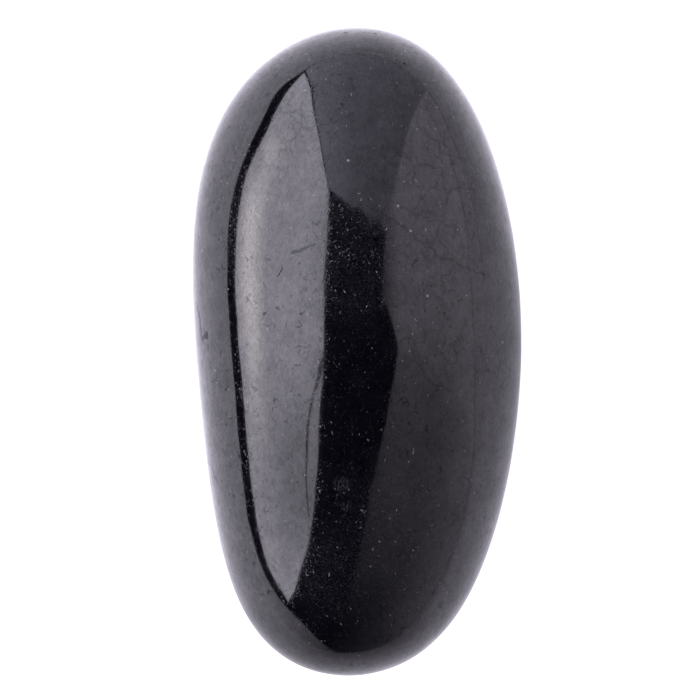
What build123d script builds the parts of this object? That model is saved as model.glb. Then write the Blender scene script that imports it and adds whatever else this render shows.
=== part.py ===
from build123d import *
import math
import os

# A basalt massage stone: one long oval pebble, ground and polished all over, with no joints or fittings.
# +Y runs along it from the near tip to the far tip, +X across it, and +Z up from the flat it rests on.
# Along the stone, t is the share of the way from the middle to a tip: -1 near tip, 0 middle, +1 far tip.

LENGTH = 75.0  # tip to tip
MIDDLE_WIDTH = 37.7  # across the stone at t = 0
MIDDLE_HEIGHT = 31.2  # underside to crown at t = 0, before the flat is worn
SQUARENESS = 0.345  # how full the outline's corners are: 0 is an ellipse, 1 a rectangle
BELLY_SHIFT = 0.09  # how strongly the widest place leans towards the far tip
STATIONS = (-1.0, -0.5, 0.0, 0.5, 1.0)  # the values of t at which the two rows of offsets are given
SIDE_OFFSETS = (-1.0, 0.0, 0.15, -0.7, 0.0)  # X of the centre line
RISE_OFFSETS = (0.9, 0.2, 0.0, 0.1, 0.6)  # Z of the centre line: both tips lift a little
WORN_DEPTH = 0.35  # taken off the underside where the stone rests
SECTION_STEP = 7.5  # degrees from one cross-section to the next, seen as angles round the side view


def through_stations(offsets, t):
    """The smooth curve through the offsets at STATIONS (Lagrange's polynomial), read at t."""
    total = 0.0
    for station, offset in zip(STATIONS, offsets):
        others = [other for other in STATIONS if other != station]
        total += offset * math.prod((t - other) / (station - other) for other in others)
    return total


def fullness(t):
    """The outline's half-width at t, as a share of its half-width at the middle."""
    oval = math.sqrt((1 - t**2) / (1 - SQUARENESS * t**2))
    return oval * (1 + BELLY_SHIFT * t * (1 - t**2))


def centre_point(t):
    """The middle of the cross-section at t."""
    return Vector(through_stations(SIDE_OFFSETS, t), LENGTH / 2 * t, through_stations(RISE_OFFSETS, t))


def cross_section(t):
    """The elliptical cross-section at t, square to the stone's length, as a crown arc and a belly arc."""
    half_width = MIDDLE_WIDTH / 2 * fullness(t)
    half_height = MIDDLE_HEIGHT / 2 * fullness(t)
    crown = EllipticalCenterArc((0, 0), half_width, half_height, start_angle=0, arc_size=180)
    belly = EllipticalCenterArc((0, 0), half_width, half_height, start_angle=180, arc_size=180)
    return Plane(origin=centre_point(t), x_dir=(1, 0, 0), z_dir=(0, -1, 0)) * make_face(crown + belly)


def pebble():
    """The tumbled stone, before its resting flat is worn."""
    steps = round(180 / SECTION_STEP)
    spots = [-math.cos(math.radians(step * SECTION_STEP)) for step in range(1, steps)]
    near_tip = Vertex(*centre_point(-1))
    far_tip = Vertex(*centre_point(1))
    return loft([near_tip, *[cross_section(t) for t in spots], far_tip])


def stand_on_flat(stone):
    """Wear a small flat on the underside, and stand the stone on it with the origin below its middle."""
    box = stone.bounding_box()
    middle = box.center()
    stone = Pos(-middle.X, -middle.Y, -box.min.Z - WORN_DEPTH) * stone
    return split(stone, Plane.XY, keep=Keep.TOP)


os.makedirs("parts", exist_ok=True)
export_step(stand_on_flat(pebble()), "parts/stone.step")
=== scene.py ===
import math

import bmesh
import bpy
import numpy as np
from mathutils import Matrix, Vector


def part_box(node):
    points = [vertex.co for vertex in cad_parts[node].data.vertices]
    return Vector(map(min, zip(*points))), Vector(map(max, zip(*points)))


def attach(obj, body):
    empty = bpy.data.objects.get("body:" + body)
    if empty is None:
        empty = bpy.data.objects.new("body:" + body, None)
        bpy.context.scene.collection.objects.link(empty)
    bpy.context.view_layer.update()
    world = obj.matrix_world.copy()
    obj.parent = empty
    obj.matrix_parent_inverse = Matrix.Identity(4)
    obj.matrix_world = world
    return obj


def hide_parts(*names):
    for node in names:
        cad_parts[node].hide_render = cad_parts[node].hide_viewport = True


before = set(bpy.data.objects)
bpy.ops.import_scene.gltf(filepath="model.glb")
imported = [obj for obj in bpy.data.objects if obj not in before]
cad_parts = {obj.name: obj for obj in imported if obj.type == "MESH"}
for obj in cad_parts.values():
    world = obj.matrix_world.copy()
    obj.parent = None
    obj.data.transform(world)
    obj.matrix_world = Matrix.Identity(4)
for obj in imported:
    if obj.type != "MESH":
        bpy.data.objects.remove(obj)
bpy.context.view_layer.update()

# The basalt massage stone lies on its belly: +X across it, +Y towards its far tip, +Z up.
# Lengths are in metres. MM turns the millimetres that the design is written in into metres.
MM = 0.001
STONE_LOW, STONE_HIGH = (np.array(corner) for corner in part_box("stone"))
STONE_SIZE = STONE_HIGH - STONE_LOW
MIDDLE = (STONE_LOW + STONE_HIGH) / 2

# The design's shape, as the CAD part states it. t runs from -1 at the near tip to +1 at the far tip.
MIDDLE_WIDTH = 37.7 * MM
MIDDLE_HEIGHT = 31.2 * MM
SQUARENESS = 0.345
BELLY_SHIFT = 0.09
STATIONS = (-1.0, -0.5, 0.0, 0.5, 1.0)
SIDE_OFFSETS = (-1.0 * MM, 0.0, 0.15 * MM, -0.7 * MM, 0.0)
RISE_OFFSETS = (0.9 * MM, 0.2 * MM, 0.0, 0.1 * MM, 0.6 * MM)
WORN_DEPTH = 0.35 * MM
FLAT_EDGE = 0.04 * MM  # how softly the flat's rim is rounded

# Tumbling leaves the surface very slightly uneven: waves of these lengths, each with this much slope.
WAVE_LENGTHS = np.geomspace(4, 24, 14) * MM
WAVE_SLOPE = 0.0022
WAVE_SEED = 11

DIVISIONS = 128  # quads along each edge of the cage that becomes the stone
HALVINGS = 40  # steps that pin each vertex to the pebble's surface

# Flaws in the crown, as seen from above: (x, y) points in millimetres from the stone's middle.
# Each crack is its width, how dark it is and its route. Each spot is its place and its radius.
CRACKS = [
    (0.45, 1.0, [(-18.4, 5.5), (-18.0, 3.2), (-17.7, 1.2), (-17.2, 1.8)]),
    (0.30, 0.7, [(-17.1, -12.2), (-15.9, -15.4)]),
    (0.32, 0.5, [(-7.1, 11.1), (-6.0, 11.5), (-4.7, 12.1)]),
    (0.13, 0.9, [(-8.4, 9.4), (-8.9, 8.4)]),
    (0.20, 0.28, [(2.7, 15.6), (6.2, 13.2), (8.9, 10.8), (14.7, 8.3)]),
    (0.22, 0.25, [(9.4, 19.6), (6.0, 15.3)]),
    (0.20, 0.2, [(7.3, 7.9), (10.5, 4.4)]),
]
CHIPS = [((-1.3, 36.5), 0.4), ((2.1, 36.4), 0.35), ((5.4, 32.7), 0.2)]
PALE_GRAINS = [(7.9, 6.2), (6.0, 13.5), (4.6, 16.3), (16.6, 1.0), (-1.0, 21.4)]
PALE_GRAIN_RADIUS = 0.2
DUSTY_SPOTS = [
    ((-14.9, 3.2), 1.0), ((-5.4, 11.4), 0.6), ((7.9, 3.6), 1.4), ((12.9, -1.4), 1.4), ((-1.7, -15.0), 1.3),
    ((-1.3, -17.4), 0.9), ((2.9, 25.7), 1.0),
]
SCRATCHED_SPOTS = [((-0.5, 11.0), 11.0), ((-2.0, -25.0), 7.0), ((-12.0, 14.0), 8.0), ((7.0, -21.0), 13.0)]
NETTED_SPOTS = [((8.0, 17.0), 11.0), ((9.5, 25.5), 6.0), ((9.0, -1.0), 5.0), ((-8.8, 24.5), 6.0)]

# The same flaws scattered over the whole stone. Each row of specks is how many times longer than wide they
# are, the turn of their length in radians, the cell that holds one, their radius, and the share of cells.
SCRATCH_SPECKS = [
    (4.0, (0.0, 0.2, 0.25), 0.36, 0.09, 0.7),
    (3.5, (0.0, 0.0, -0.6), 0.36, 0.09, 0.7),
    (4.0, (0.3, 0.0, 1.2), 0.42, 0.09, 0.6),
]
ROUND_SPECKS = (0.26, 0.10, 0.7)
GRAIN_SPECKS = (2.0, (0.0, 0.0, 0.2), 0.65, 0.11, 0.8)
PIT_SPECKS = (2.5, (0.0, 0.0, -0.3), 0.42, 0.12, 0.8)
NET_CELL, NET_WIDTH, NET_STRETCH = 3.4, 0.18, 1.6
HAIR_CELL, HAIR_WIDTH = 1.3, 0.07
NET_DEPTH, HAIR_DEPTH, PIT_DEPTH = 0.24, 0.6, 0.5  # how dark they are beside a full crack, which is 1
HAZE = 0.4  # how much dust lies among the scratches, beside a dusty spot, which is 1

# Noise that crowds the flaws in some places and thins them in others: the size of its patches in millimetres,
# its detail, the part of its range that counts, and the shares that the ends of that part are carried to.
SCRATCH_CLOUDS = (7.0, 2.0, (0.42, 0.7), (0.35, 0.9))
SCRATCH_CLUMPS = (1.6, 2.0, (0.38, 0.6), (0.35, 1.0))
HAIR_CLUMPS = (0.9, 2.0, (0.5, 0.62), (0.0, 1.0))
HAIR_CLOUDS = (9.0, 1.0, (0.42, 0.58), (0.3, 1.0))

# The polish. Colours are linear red, green and blue, and near black where the stone is bare.
DARK_GROUND = (0.0008, 0.0008, 0.0017)
LIGHT_GROUND = (0.0022, 0.0021, 0.0031)
SCRATCH_COLOUR = (0.035, 0.035, 0.038)
DUST_COLOUR = (0.15, 0.15, 0.17)
DUST_COVER = 0.15
GRAIN_COLOUR = (0.16, 0.16, 0.14)
POLISH_ROUGHNESS = (0.045, 0.08)  # in the best and the worst polished clouds
PALE_ROUGHNESS = 0.2  # added on scratches, dust and grains
FILM_ROUGHNESS = 0.03
GROUND_IOR = 1.47
CLOUD_RELIEF = 0.002  # the relief that bends the reflections, in millimetres
SCRATCH_RELIEF = 0.008

# The studio's panels stand on a dome round the stone, with a few a little nearer or farther than the rest.
FLOOR_REACH = 1.5  # from the stone to the floor's edge
DOME_RADIUS = 1.6
IN_FRONT, BEHIND, FARTHEST = 1.55, 1.65, 1.7
PANEL_STEP = 1.0  # degrees between a panel's columns
PANEL_ROWS = 61
PANEL_SOFTENING = 5  # columns that a panel's edge is averaged over, so that it curves from stop to stop
COOL = (0.98, 0.935, 1.09)  # the tint of the studio's light
WARM = (1.06, 0.99, 0.93)  # the tint of the lamp inside the softbox
FAR_WALL_TINT = (0.95, 0.92, 1.13)
SIDE_WALL_TINT = (1.0, 0.915, 1.085)

# Each panel's outline: an azimuth, the bottom and the top there, in degrees. Azimuths run from +X to +Y.
SOFTBOX_STOPS = [
    (117, 3, 14), (119, 5, 42), (125, 8, 66), (134, 12, 70), (145, 16.5, 71.5), (153, 14.3, 72),
    (162, 10, 72), (180, 8, 71.5), (194, 8.5, 69.5), (203, 10.5, 64), (209, 14, 61), (215, 17, 55),
    (219, 18, 40), (221, 18, 22),
]
RIM_MIDDLE, RIM_SIDES, RIM_BELOW, RIM_ABOVE = 170, 0.02, 1.5, 1  # how far the frame stands out round it
SEAM_STOPS = [
    (194, 67, 73), (196, 62, 67), (199, 56.5, 59), (202, 54, 55.5), (207, 52, 53), (213, 50.8, 51.7),
]
FAR_WALL_STOPS = [
    (34, -0.4, 66), (46, -0.4, 70), (56, -0.4, 73), (87, -0.4, 74.2), (103, -0.4, 73), (111, -0.4, 71),
    (117, 3, 69.5), (126, 8, 65),
]
SIDE_WALL_STOPS = [
    (-104, 2, 40), (-98, 0, 46), (-85, -1, 62), (-67, -1, 71), (-36, -1, 71), (-20, -1, 69), (-7, -1, 66),
    (0, -1, 71), (9, -1, 76), (20, -1, 74), (34, 0, 67), (42, 0, 50), (46, 0, 20),
]
LEDGE_STOPS = [
    (-70, 3.5, 5), (-40, 3, 4.8), (-16, 2, 3.8), (-11, 4, 6), (-6, 8.5, 10.5), (2, 10.8, 12.8),
    (9, 11.3, 13.3), (16, 7.8, 9.5), (32, 8.8, 10.4), (44, 10, 11.2),
]
LEFT_SWEEP_STOPS = [
    (112, -1, 0), (119, -1, 2), (129, -1, 0.8), (134, -1, 2), (140, -1, 5.5), (147, -1, 7), (154, -1, 5.5),
    (161, -1, 3), (168, -1, 0),
]
NEAR_SWEEP_STOPS = [
    (196, -1, 0), (204, -1, 4), (210, -1, 8), (217, -1, 12), (225, -1, 15.5), (233, -1, 17), (241, -1, 14.5),
    (250, -1, 9), (262, -1, 1),
]

# How strongly each panel glows: (azimuth, strength) stops, or one strength for the whole panel.
# A soft patch is the azimuth and elevation of its middle, and how far it spreads along each.
# A fade is how much of the glow it takes, the elevation where it starts and the degrees it takes to finish.
SOFTBOX_STRENGTH, LAMP_STRENGTH, DIM_STRENGTH = 4.2, 3.6, 1.9
LAMP = ((175, 21.5), (14, 8))
LAMP_TAIL, LAMP_TAIL_SHARE = ((154, 27), (11, 6.5)), 0.5
DIM_PATCH, DIM_SLANT = ((205, 50), (14, 22)), 0.8  # it climbs by the slant for each degree of azimuth
SOFTBOX_FADE = (0.2, 60, 12)
HEM_LOSS, HEM_HEIGHT = 0.12, 6  # the softbox is dimmer by this along its bottom edge, up to this height
FAR_WALL_FADE = (0.15, 55, 15)
SEAM_STRENGTH = 0.35
RIM_STRENGTH = 0.1
LEDGE_SHARE = 0.76  # of the side wall's glow
FAR_WALL_LEVELS = [(47, 0.83), (60, 0.88), (90, 1.17), (102, 1.4), (112, 1.62), (118, 1.75)]
SIDE_WALL_LOW_LEVELS = [
    (-104, 0.02), (-90, 0.08), (-70, 0.2), (-60, 0.38), (-50, 0.58), (-40, 0.66), (-20, 0.82), (-10, 1.02),
    (0, 1.28), (15, 1.4), (46, 1.46),
]
SIDE_WALL_HIGH_LEVELS = [
    (-104, 0.02), (-90, 0.06), (-70, 0.13), (-60, 0.18), (-50, 0.22), (-40, 0.28), (-20, 0.44), (-10, 0.58),
    (0, 1.12), (15, 1.38), (46, 1.42),
]
SIDE_WALL_TOP_LEVELS = [(-90, 0.08), (-10, 0.14), (5, -0.1), (46, -0.15)]  # added near the wall's top
LOW_TO_HIGH, HIGH_TO_TOP = (5, 35), (45, 20)  # where each change starts, and the degrees it takes
SKIRTING_SHARES, SKIRTING_TOPS = [(-20, 1.12), (-5, 0.86)], [(-20, 5), (-5, 12)]
SKIRTING_EDGE = 4  # degrees over which the skirting's share of the wall's glow sets in
SHADE_TOP, SHADE_SLANT, SHADE_EDGE, LEAST_SHADE = 82, 0.25, 16, 0.2  # the wall darkens towards a slanting top
SWEEP_LEVELS = [
    (115, 1.4), (130, 1.9), (160, 1.9), (205, 1.85), (215, 1.5), (228, 1.1), (240, 0.78), (258, 0.3),
]
# Painted light in the floor as the stone mirrors it, with the stone's painted shadow: (azimuth, strength)
# stops close to the stone and far from it.
CLOSE_FLOOR_PAINTED_LIGHT = [
    (-180, 1.2), (-150, 1.2), (-135, 1.0), (-120, 0.6), (-100, 0.45), (-80, 0.65), (-60, 0.65), (-50, 0.65),
    (-40, 0.65), (-20, 0.5), (0, 0.35), (20, 0.5), (45, 1.0), (70, 1.4), (90, 1.6), (110, 1.5), (130, 1.2),
    (150, 1.0), (180, 1.2),
]
FAR_FLOOR_PAINTED_LIGHT = [
    (-180, 1.2), (-150, 1.2), (-135, 0.85), (-120, 0.5), (-100, 0.05), (-80, 0.1), (-60, 0.24), (-50, 0.41),
    (-40, 0.64), (-20, 0.7), (0, 0.63), (20, 0.6), (45, 0.7), (70, 0.65), (90, 0.8), (110, 1.0), (130, 1.3),
    (150, 1.35), (180, 1.2),
]
CLOSE_FLOOR, FAR_FLOOR = 0.04, 0.2  # distances from the stone's middle where those two rows hold
FLOOR_SPOKES, FLOOR_RINGS, FIRST_RING = 73, 40, 0.004
FLOOR_COLOUR = (0.35, 0.35, 0.35)
FLOOR_FOR_CAMERA = (0.93, 0.93, 0.93)  # the glow that evens the floor out for the camera
SKY_FOR_CAMERA = (1.0, 1.0, 1.0)
DARK_STUDIO = (0.012, 0.012, 0.02)

LENS = 200.0  # millimetres, on a 36 mm sensor
SENSOR = 36.0
STONE_SHARE = 0.925  # how much of the picture's height the stone's length takes up
CAMERA_SHIFT = (-0.0098, 0.0017)  # the camera's place across the stone, in picture heights


# ---------------------------------------------------------------- the stone's shape

def through_stations(offsets, t):
    """The smooth curve through the offsets at STATIONS, read at t."""
    return np.polyval(np.polyfit(STATIONS, offsets, len(STATIONS) - 1), t)


def outside(points):
    """Negative inside the tumbled pebble, zero on its surface, positive outside."""
    t = points[:, 1] / (STONE_SIZE[1] / 2)
    across = (points[:, 0] - through_stations(SIDE_OFFSETS, t)) / (MIDDLE_WIDTH / 2)
    up = (points[:, 2] - through_stations(RISE_OFFSETS, t)) / (MIDDLE_HEIGHT / 2)
    oval = (1 - t**2) / (1 - SQUARENESS * t**2)
    fullness = oval * (1 + BELLY_SHIFT * t * (1 - t**2)) ** 2
    return across**2 + up**2 - fullness


def cage_directions(divisions):
    """An evenly divided cube pushed out to a sphere: its bmesh, and the direction of each vertex."""
    cage = bmesh.new()
    bmesh.ops.create_cube(cage, size=2)
    bmesh.ops.subdivide_edges(cage, edges=cage.edges, cuts=divisions - 1, use_grid_fill=True)
    corners = np.array([vertex.co for vertex in cage.verts])
    even = np.tan(corners * math.pi / 4)
    return cage, even / np.linalg.norm(even, axis=1)[:, None]


def pebble_points(directions):
    """Where a ray from the stone's middle along each direction leaves the pebble, found by halving."""
    reach = directions * (MIDDLE_WIDTH / 2, STONE_SIZE[1] / 2, MIDDLE_HEIGHT / 2)
    near = np.full(len(reach), 0.5)
    far = np.full(len(reach), 1.2)
    for _ in range(HALVINGS):
        half = (near + far) / 2
        beyond = outside(reach * half[:, None]) > 0
        far = np.where(beyond, half, far)
        near = np.where(beyond, near, half)
    return reach * near[:, None]


def weather(points):
    """Sink the surface by a few hundredths of a millimetre, in a smooth mix of seeded waves."""
    step = 0.01 * MM
    slopes = [outside(points + step * axis) - outside(points - step * axis) for axis in np.eye(3)]
    facing = np.stack(slopes, axis=1)
    facing /= np.linalg.norm(facing, axis=1)[:, None]
    random = np.random.default_rng(WAVE_SEED)
    sink = np.zeros(len(points))
    for length in WAVE_LENGTHS:
        direction = random.normal(size=3)
        direction *= 2 * math.pi / length / np.linalg.norm(direction)
        phase = random.uniform(0, 2 * math.pi)
        sink += WAVE_SLOPE * length / (2 * math.pi) * (1 + np.sin(points @ direction + phase))
    return points - facing * sink[:, None]


def fit_to_cad(points):
    """Wear the resting flat, and bring the pebble exactly into the CAD stone's box."""
    low, high = points.min(axis=0), points.max(axis=0)
    low[2] += WORN_DEPTH
    points = STONE_LOW + (points - low) / (high - low) * STONE_SIZE
    height = points[:, 2] - STONE_LOW[2]
    points[:, 2] = STONE_LOW[2] + (height + np.sqrt(height**2 + FLAT_EDGE**2)) / 2
    points[:, 2] = np.minimum(points[:, 2], STONE_HIGH[2])
    return points


def make_stone():
    """The polished pebble as one closed mesh of even quads."""
    cage, directions = cage_directions(DIVISIONS)
    points = fit_to_cad(weather(pebble_points(directions)))
    for vertex, point in zip(cage.verts, points):
        vertex.co = point
    mesh = bpy.data.meshes.new("polished_stone")
    cage.to_mesh(mesh)
    cage.free()
    mesh.shade_smooth()
    stone = bpy.data.objects.new("polished_stone", mesh)
    bpy.context.collection.objects.link(stone)
    bpy.context.view_layer.update()
    return stone


def on_crown(stone, spot):
    """The point of the stone's upper side at an (x, y) spot, all in millimetres."""
    above = (spot[0] * MM, spot[1] * MM, 2 * STONE_HIGH[2])
    found, point, _, _ = stone.ray_cast(above, (0, 0, -1))
    assert found, spot
    return np.array(point) / MM


# ---------------------------------------------------------------- material nodes

def new_material(name):
    """A node material with its tree and its Principled shader."""
    material = bpy.data.materials.new(name)
    material.use_nodes = True
    tree = material.node_tree
    return material, tree, tree.nodes["Principled BSDF"]


def add_node(tree, kind, inputs, **settings):
    """One shader node. settings are its own properties; inputs are values, or the sockets that feed it."""
    node = tree.nodes.new("ShaderNode" + kind)
    for name, value in settings.items():
        setattr(node, name, value)
    for name, value in inputs.items():
        if isinstance(value, bpy.types.NodeSocket):
            tree.links.new(value, node.inputs[name])
        else:
            node.inputs[name].default_value = value
    return node


def calculate(tree, operation, *values):
    """The result of a Math node on values or sockets."""
    return add_node(tree, "Math", dict(enumerate(values)), operation=operation).outputs[0]


def product(tree, first, second):
    """Two values or sockets multiplied together."""
    return calculate(tree, "MULTIPLY", first, second)


def vector_math(tree, operation, inputs):
    """A Vector Math node."""
    return add_node(tree, "VectorMath", inputs, operation=operation)


def brightest(tree, values):
    """The largest of several sockets."""
    largest = values[0]
    for value in values[1:]:
        largest = calculate(tree, "MAXIMUM", largest, value)
    return largest


def remap(tree, value, old, new, smooth=False):
    """value carried from the range old to the range new, and kept inside it."""
    inputs = {"Value": value, "From Min": old[0], "From Max": old[1], "To Min": new[0], "To Max": new[1]}
    kind = "SMOOTHSTEP" if smooth else "LINEAR"
    return add_node(tree, "MapRange", inputs, interpolation_type=kind).outputs["Result"]


def colour_mix(tree, factor, first, second):
    """first where factor is 0 and second where it is 1. Colours are linear red, green and blue."""
    first = first if isinstance(first, bpy.types.NodeSocket) else (*first, 1)
    return add_node(tree, "Mix", {"Factor": factor, 6: first, 7: (*second, 1)}, data_type="RGBA").outputs[2]


def noise(tree, place, size, detail=3.0, roughness=0.5, curl=0.0):
    """Cloudy noise from 0 to 1 with patches of about size millimetres, drawn into wisps by curl."""
    inputs = {"Vector": place, "Scale": 1 / size, "Detail": detail, "Roughness": roughness}
    return add_node(tree, "TexNoise", {**inputs, "Distortion": curl}).outputs["Fac"]


def crowding(tree, place, size, detail, part, shares):
    """Noise with patches of about size millimetres, carried from the part of its range to the shares."""
    return remap(tree, noise(tree, place, size, detail), part, shares)


def wander(tree, place, size, reach):
    """place shifted by up to reach millimetres, so that straight lines drawn in it come out uneven."""
    inputs = {"Vector": place, "Scale": 1 / size, "Detail": 3.0}
    drift = add_node(tree, "TexNoise", inputs).outputs["Color"]
    drift = vector_math(tree, "SUBTRACT", {0: drift, 1: (0.5, 0.5, 0.5)}).outputs[0]
    drift = vector_math(tree, "SCALE", {0: drift, "Scale": reach}).outputs[0]
    return vector_math(tree, "ADD", {0: place, 1: drift}).outputs[0]


def drawn_out(tree, place, length, turn):
    """place squeezed length times along Y turned by turn, so that what is drawn in it comes out longer."""
    inputs = {"Vector": place, "Rotation": turn, "Scale": (1, length, 1)}
    return add_node(tree, "Mapping", inputs, vector_type="TEXTURE").outputs["Vector"]


def specks(tree, place, cell, radius, share):
    """Specks of up to radius millimetres in a share of the cells of a random net, some of them faint."""
    net = add_node(tree, "TexVoronoi", {"Vector": place, "Scale": 1 / cell})
    chance = add_node(tree, "SeparateColor", {"Color": net.outputs["Color"]}).outputs["Red"]
    strength = remap(tree, chance, (1 - share, 1.0), (0.0, 1.0))
    reach = radius / cell
    speck = remap(tree, net.outputs["Distance"], (0.2 * reach, reach), (1.0, 0.0), smooth=True)
    return product(tree, speck, strength)


def long_specks(tree, place, length, turn, cell, radius, share):
    """Specks drawn out to short strokes, length times as long as they are wide."""
    return specks(tree, drawn_out(tree, place, length, turn), cell, radius, share)


def near(tree, place, centre, radius, edge=0.4):
    """1 out to the share edge of the radius in millimetres, fading to 0 at the whole radius."""
    away = vector_math(tree, "DISTANCE", {0: place, 1: tuple(centre)}).outputs["Value"]
    return remap(tree, away, (radius * edge, radius), (1.0, 0.0), smooth=True)


def spots(tree, stone, place, centres_and_radii):
    """1 in round spots of the stone's upper side, fading to 0 at their radii."""
    marks = [near(tree, place, on_crown(stone, spot), radius) for spot, radius in centres_and_radii]
    return brightest(tree, marks)


def line_marks(tree, place, facing, route, width):
    """1 on the straight pieces of the route, fading to 0 at width millimetres along the surface from them."""
    pieces = []
    for start, end in zip(route, route[1:]):
        along = end - start
        offset = vector_math(tree, "SUBTRACT", {0: place, 1: tuple(start)}).outputs[0]
        inputs = {0: offset, 1: tuple(along / (along @ along))}
        share = vector_math(tree, "DOT_PRODUCT", inputs).outputs["Value"]
        share = remap(tree, share, (0.0, 1.0), (0.0, 1.0))
        foot = vector_math(tree, "SCALE", {0: tuple(along), "Scale": share}).outputs[0]
        aside = vector_math(tree, "SUBTRACT", {0: offset, 1: foot}).outputs[0]
        level = vector_math(tree, "CROSS_PRODUCT", {0: aside, 1: facing}).outputs[0]
        away = vector_math(tree, "LENGTH", {0: level}).outputs["Value"]
        pieces.append(remap(tree, away, (0.2 * width, width), (1.0, 0.0), smooth=True))
    reach = np.linalg.norm(route[-1] - route[0]) + 2 * width
    return product(tree, brightest(tree, pieces), near(tree, place, route[0], reach, 0.95))


def crack_net(tree, place, cell, width):
    """A net of fine healed cracks, 1 on a line and 0 away from it, in millimetres."""
    drifted = drawn_out(tree, wander(tree, place, 2.0, 2.6), NET_STRETCH, (0.0, 0.0, 0.0))
    net = add_node(tree, "TexVoronoi", {"Vector": drifted, "Scale": 1 / cell}, feature="DISTANCE_TO_EDGE")
    return remap(tree, net.outputs["Distance"], (0.0, width / cell), (1.0, 0.0), smooth=True)


# ---------------------------------------------------------------- polished basalt

def scratch_marks(tree, place, drifted, scratched):
    """Fine pale scratches and specks, crowded on the scratched spots and in clouds elsewhere."""
    share = calculate(tree, "MAXIMUM", scratched, crowding(tree, place, *SCRATCH_CLOUDS))
    share = product(tree, share, crowding(tree, place, *SCRATCH_CLUMPS))
    marks = [specks(tree, place, *ROUND_SPECKS)]
    marks += [long_specks(tree, drifted, *row) for row in SCRATCH_SPECKS]
    return product(tree, brightest(tree, marks), share)


def dust_marks(tree, stone, place, scratched):
    """Grainy dust on the dusty spots, and a haze of it among the scratches."""
    dust = remap(tree, noise(tree, place, 0.2, 3.0, 0.7), (0.46, 0.66), (0.0, 1.0))
    dusty = calculate(tree, "MAXIMUM", spots(tree, stone, place, DUSTY_SPOTS), product(tree, scratched, HAZE))
    return product(tree, dusty, dust)


def grain_marks(tree, stone, place, drifted):
    """Sparse pale grains in the stone."""
    placed = spots(tree, stone, place, [(spot, PALE_GRAIN_RADIUS) for spot in PALE_GRAINS])
    return brightest(tree, [placed, long_specks(tree, drifted, *GRAIN_SPECKS)])


def crack_marks(tree, stone, drifted, facing):
    """The listed cracks, each as dark as CRACKS says."""
    marks = []
    for width, depth, route in CRACKS:
        route = [on_crown(stone, spot) for spot in route]
        marks.append(product(tree, depth, line_marks(tree, drifted, facing, route, width)))
    return brightest(tree, marks)


def hair_marks(tree, place):
    """Short dark hairlines: a fine net of cracks that shows in places only."""
    hairs = crack_net(tree, place, HAIR_CELL, HAIR_WIDTH)
    hairs = product(tree, hairs, crowding(tree, place, *HAIR_CLUMPS))
    return product(tree, hairs, crowding(tree, place, *HAIR_CLOUDS))


def basalt_material(stone):
    """Polished black basalt: a near-black ground under a glossy film, with fine marks, cracks and grains.

    The film's weight mottles the reflections. Cracks and pits are set as metal as dark as the ground, which
    mirrors nothing, so they stay dark wherever a reflection crosses them.
    """
    material, tree, shader = new_material("polished_basalt")
    coordinates = add_node(tree, "TexCoord", {}).outputs["Object"]
    place = vector_math(tree, "SCALE", {0: coordinates, "Scale": 1 / MM}).outputs[0]
    drifted = wander(tree, place, 1.5, 1.6)
    facing = add_node(tree, "NewGeometry", {}).outputs["Normal"]
    clouds = noise(tree, place, 2.4, 4.0, 0.6)
    grit = noise(tree, drawn_out(tree, place, 1.6, (0.0, 0.0, 0.1)), 0.5, 4.0, 0.8, 0.8)

    scratched = spots(tree, stone, place, SCRATCHED_SPOTS)
    scratches = scratch_marks(tree, place, drifted, scratched)
    dust = dust_marks(tree, stone, place, scratched)
    grains = grain_marks(tree, stone, place, drifted)
    cracks = crack_marks(tree, stone, drifted, facing)
    net = product(tree, crack_net(tree, place, NET_CELL, NET_WIDTH), spots(tree, stone, place, NETTED_SPOTS))
    hairs = hair_marks(tree, place)
    chips = spots(tree, stone, place, CHIPS)

    tone = colour_mix(tree, remap(tree, clouds, (0.35, 0.7), (0.0, 1.0)), DARK_GROUND, LIGHT_GROUND)
    tone = colour_mix(tree, scratches, tone, SCRATCH_COLOUR)
    tone = colour_mix(tree, product(tree, dust, DUST_COVER), tone, DUST_COLOUR)
    tone = colour_mix(tree, grains, tone, GRAIN_COLOUR)
    tree.links.new(tone, shader.inputs["Base Color"])

    pale = brightest(tree, [scratches, dust, grains])
    polish = remap(tree, clouds, (0.3, 0.7), POLISH_ROUGHNESS)
    roughness = calculate(tree, "ADD", polish, product(tree, pale, PALE_ROUGHNESS))
    tree.links.new(roughness, shader.inputs["Roughness"])

    pits = long_specks(tree, drifted, *PIT_SPECKS)
    faint = [product(tree, net, NET_DEPTH), product(tree, hairs, HAIR_DEPTH), product(tree, pits, PIT_DEPTH)]
    dark = brightest(tree, [cracks, chips, *faint])
    tree.links.new(dark, shader.inputs["Metallic"])

    mottle = remap(tree, clouds, (0.2, 0.8), (-0.2, 0.2))
    film = calculate(tree, "ADD", mottle, remap(tree, grit, (0.28, 0.72), (-0.05, 0.6)))
    film = product(tree, film, remap(tree, brightest(tree, [pale, dark]), (0.0, 0.8), (1.0, 0.0)))
    tree.links.new(calculate(tree, "MAXIMUM", film, 0.0), shader.inputs["Coat Weight"])
    shader.inputs["Coat Roughness"].default_value = FILM_ROUGHNESS
    shader.inputs["IOR"].default_value = GROUND_IOR

    relief = product(tree, clouds, CLOUD_RELIEF)
    height = calculate(tree, "SUBTRACT", relief, product(tree, scratches, SCRATCH_RELIEF))
    bump = add_node(tree, "Bump", {"Height": height, "Distance": MM, "Strength": 1.0}).outputs["Normal"]
    tree.links.new(bump, shader.inputs["Normal"])
    tree.links.new(bump, shader.inputs["Coat Normal"])
    return material


# ---------------------------------------------------------------- studio

def tinted(strength, tint):
    """A colour for each strength in an array."""
    return strength[..., None] * np.array(tint)


def level_at(azimuth, stops):
    """The strength at an azimuth, read from (azimuth, strength) stops."""
    azimuths, strengths = np.array(stops).T
    return np.interp(azimuth, azimuths, strengths)


def ramp(value, start, length):
    """0 up to start, rising to 1 over length."""
    return np.clip((value - start) / length, 0, 1)


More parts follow.
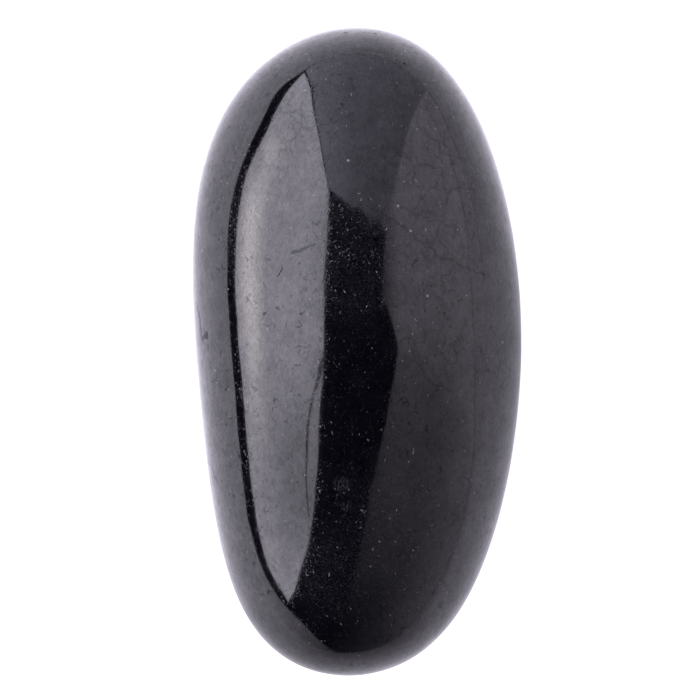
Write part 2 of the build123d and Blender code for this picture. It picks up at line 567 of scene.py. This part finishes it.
def faded(elevation, loss, start, length):
    """What is left of a glow that loses a share of itself on the way up."""
    return 1 - loss * ramp(elevation, start, length)


def glow_material(name):
    """Light given off as the mesh's glow attribute says."""
    material = bpy.data.materials.new(name)
    material.use_nodes = True
    tree = material.node_tree
    tree.nodes.clear()
    output = tree.nodes.new("ShaderNodeOutputMaterial")
    glow = add_node(tree, "Attribute", {}, attribute_name="glow")
    emission = add_node(tree, "Emission", {"Color": glow.outputs["Color"], "Strength": 1.0})
    tree.links.new(emission.outputs["Emission"], output.inputs["Surface"])
    return material


def stage_grid(name, places, glow, material):
    """A sheet through a grid of places, with a glow colour at each. It belongs to the studio."""
    rows, columns = places.shape[:2]
    corners = [row * columns + column for row in range(rows - 1) for column in range(columns - 1)]
    faces = [(corner, corner + 1, corner + columns + 1, corner + columns) for corner in corners]
    mesh = bpy.data.meshes.new(name)
    mesh.from_pydata(places.reshape(-1, 3).tolist(), [], faces)
    colours = np.concatenate([glow, np.ones_like(glow[..., :1])], axis=-1).astype(np.float32)
    mesh.attributes.new("glow", "FLOAT_COLOR", "POINT").data.foreach_set("color", colours.ravel())
    mesh.materials.append(material)
    sheet = bpy.data.objects.new(name, mesh)
    bpy.context.collection.objects.link(sheet)
    return sheet


def softened(values):
    """The values averaged with their neighbours, the ends held."""
    margin = PANEL_SOFTENING // 2
    kernel = np.full(PANEL_SOFTENING, 1 / PANEL_SOFTENING)
    return np.convolve(np.pad(values, margin, mode="edge"), kernel, mode="valid")


def studio_panel(name, stops, glow, radius=DOME_RADIUS):
    """A curved panel of soft light on a dome round the stone, hidden from the camera.

    stops are (azimuth, bottom, top) in degrees, and glow gives the colour at an azimuth and elevation.
    """
    azimuths, bottoms, tops = np.array(stops, dtype=float).T
    columns = np.arange(azimuths[0], azimuths[-1] + PANEL_STEP / 2, PANEL_STEP)
    bottom = softened(np.interp(columns, azimuths, bottoms))[:, None]
    top = softened(np.interp(columns, azimuths, tops))[:, None]
    azimuth, share = np.meshgrid(columns, np.linspace(0, 1, PANEL_ROWS), indexing="ij")
    elevation = bottom + (top - bottom) * share
    around, above = np.radians(azimuth), np.radians(elevation)
    level = np.cos(above)
    outward = np.stack([np.cos(around) * level, np.sin(around) * level, np.sin(above)], axis=-1)
    panel = stage_grid(name, MIDDLE + radius * outward, glow(azimuth, elevation), glow_material(name))
    panel.visible_camera = False


def glow_spot(azimuth, elevation, centre, spread):
    """A soft bump, 1 at the centre and fading over spread, both (azimuth, elevation) in degrees."""
    return np.exp(-(((azimuth - centre[0]) / spread[0]) ** 4) - ((elevation - centre[1]) / spread[1]) ** 2)


def softbox_glow(azimuth, elevation):
    """The large softbox on the stone's left: even, with a warm lamp low in it and a dimmer slanting patch."""
    azimuths, bottoms, _ = np.array(SOFTBOX_STOPS).T
    above_hem = (elevation - np.interp(azimuth, azimuths, bottoms)) / HEM_HEIGHT
    hem = 1 - HEM_LOSS * np.clip(1 - above_hem, 0, 1)
    lamp = glow_spot(azimuth, elevation, *LAMP)
    lamp = lamp + LAMP_TAIL_SHARE * glow_spot(azimuth, elevation, *LAMP_TAIL)
    dim = glow_spot(azimuth, elevation - DIM_SLANT * (azimuth - DIM_PATCH[0][0]), *DIM_PATCH)
    cloth = (SOFTBOX_STRENGTH - DIM_STRENGTH * dim) * faded(elevation, *SOFTBOX_FADE)
    return tinted(cloth * hem, COOL) + tinted(LAMP_STRENGTH * lamp, WARM)


def far_wall_glow(azimuth, elevation):
    """The grey wall beyond the far tip, brighter towards the softbox and dimmer near its top."""
    return tinted(level_at(azimuth, FAR_WALL_LEVELS) * faded(elevation, *FAR_WALL_FADE), FAR_WALL_TINT)


def side_wall_glow(azimuth, elevation):
    """The wall on the stone's right, fading round towards the near tip and dimmer half-way up there."""
    low = level_at(azimuth, SIDE_WALL_LOW_LEVELS)
    high = level_at(azimuth, SIDE_WALL_HIGH_LEVELS)
    wall = low + (high - low) * ramp(elevation, *LOW_TO_HIGH)
    wall = wall + ramp(elevation, *HIGH_TO_TOP) * level_at(azimuth, SIDE_WALL_TOP_LEVELS)
    below_top = np.clip((level_at(azimuth, SKIRTING_TOPS) - elevation) / SKIRTING_EDGE, 0, 1)
    skirting = 1 + (level_at(azimuth, SKIRTING_SHARES) - 1) * below_top
    shade = np.clip((SHADE_TOP - SHADE_SLANT * azimuth - elevation) / SHADE_EDGE, LEAST_SHADE, 1)
    return tinted(wall * skirting * shade, SIDE_WALL_TINT)


def ledge_glow(azimuth, elevation):
    """The shadow line over the side wall's skirting."""
    return LEDGE_SHARE * side_wall_glow(azimuth, elevation)


def sweep_glow(azimuth, elevation):
    """Two corners of the floor that curl up a little like paper, about as bright as the floor beside them."""
    return tinted(level_at(azimuth, SWEEP_LEVELS), COOL)


def seam_glow(azimuth, elevation):
    """The dark seam in the softbox's cloth."""
    return tinted(np.full_like(azimuth, SEAM_STRENGTH), WARM)


def rim_glow(azimuth, elevation):
    """The softbox's black frame."""
    return tinted(np.full_like(azimuth, RIM_STRENGTH), COOL)


def make_panels():
    """The studio as the polished stone mirrors it: a softbox, two dim walls, and darkness above."""
    studio_panel("softbox", SOFTBOX_STOPS, softbox_glow)
    rim_stops = [
        (azimuth + (azimuth - RIM_MIDDLE) * RIM_SIDES, bottom - RIM_BELOW, top + RIM_ABOVE)
        for azimuth, bottom, top in SOFTBOX_STOPS
    ]
    studio_panel("softbox_rim", rim_stops, rim_glow, BEHIND)
    studio_panel("softbox_seam", SEAM_STOPS, seam_glow, IN_FRONT)
    studio_panel("far_wall", FAR_WALL_STOPS, far_wall_glow, FARTHEST)
    studio_panel("side_wall", SIDE_WALL_STOPS, side_wall_glow)
    studio_panel("side_wall_ledge", LEDGE_STOPS, ledge_glow, IN_FRONT)
    studio_panel("left_sweep", LEFT_SWEEP_STOPS, sweep_glow)
    studio_panel("near_sweep", NEAR_SWEEP_STOPS, sweep_glow)


def floor_painted_light(azimuth, distance):
    """How brightly the floor shows in the stone, as painted light: it dims on the side away from the softbox,
    and the stone's painted shadow lies close to it on that side.
    """
    away = np.clip(np.log(distance / CLOSE_FLOOR) / np.log(FAR_FLOOR / CLOSE_FLOOR), 0, 1)
    level = level_at(azimuth, CLOSE_FLOOR_PAINTED_LIGHT) * (1 - away) + level_at(azimuth, FAR_FLOOR_PAINTED_LIGHT) * away
    return tinted(level, COOL)


def floor_material():
    """White paper that the camera sees evenly lit, and that the stone sees with the painted light and painted
    shadow of its glow attribute.
    """
    material, tree, shader = new_material("floor")
    shader.inputs["Base Color"].default_value = (*FLOOR_COLOUR, 1)
    shader.inputs["Roughness"].default_value = 1.0
    shader.inputs["Specular IOR Level"].default_value = 0.0
    glow = add_node(tree, "Attribute", {}, attribute_name="glow").outputs["Color"]
    seen = add_node(tree, "LightPath", {}).outputs["Is Camera Ray"]
    tree.links.new(colour_mix(tree, seen, glow, FLOOR_FOR_CAMERA), shader.inputs["Emission Color"])
    shader.inputs["Emission Strength"].default_value = 1.0
    return material


def make_floor():
    """A round white floor, laid in rings that widen from under the stone."""
    spokes = np.linspace(-180, 180, FLOOR_SPOKES)
    rings = np.geomspace(FIRST_RING, FLOOR_REACH, FLOOR_RINGS)
    distance, azimuth = np.meshgrid(rings, spokes, indexing="ij")
    around = np.radians(azimuth)
    flat = np.zeros_like(distance)
    places = np.stack([distance * np.cos(around), distance * np.sin(around), flat], axis=-1)
    places[0] = 0
    stage_grid("floor", places, floor_painted_light(azimuth, distance), floor_material())


def make_world():
    """White behind the floor's edge for the camera, and a dark studio for everything else."""
    world = bpy.data.worlds.new("studio")
    world.use_nodes = True
    tree = world.node_tree
    tree.nodes.clear()
    seen = add_node(tree, "LightPath", {}).outputs["Is Camera Ray"]
    sky = colour_mix(tree, seen, DARK_STUDIO, SKY_FOR_CAMERA)
    background = add_node(tree, "Background", {"Color": sky}).outputs["Background"]
    add_node(tree, "OutputWorld", {"Surface": background})
    bpy.context.scene.world = world
    bpy.context.scene.view_settings.view_transform = "Standard"


def make_camera():
    """Straight above the stone, with the far tip at the top of the picture."""
    data = bpy.data.cameras.new("camera")
    data.lens = LENS
    data.sensor_width = SENSOR
    span = STONE_SIZE[1] / STONE_SHARE
    camera = bpy.data.objects.new("camera", data)
    camera.location = (CAMERA_SHIFT[0] * span, CAMERA_SHIFT[1] * span, MIDDLE[2] + span * LENS / SENSOR)
    bpy.context.collection.objects.link(camera)
    bpy.context.scene.camera = camera


stone = make_stone()
stone.data.materials.append(basalt_material(stone))
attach(stone, "root")
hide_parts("stone")

make_floor()
make_panels()
make_world()
make_camera()

bpy.context.view_layer.update()
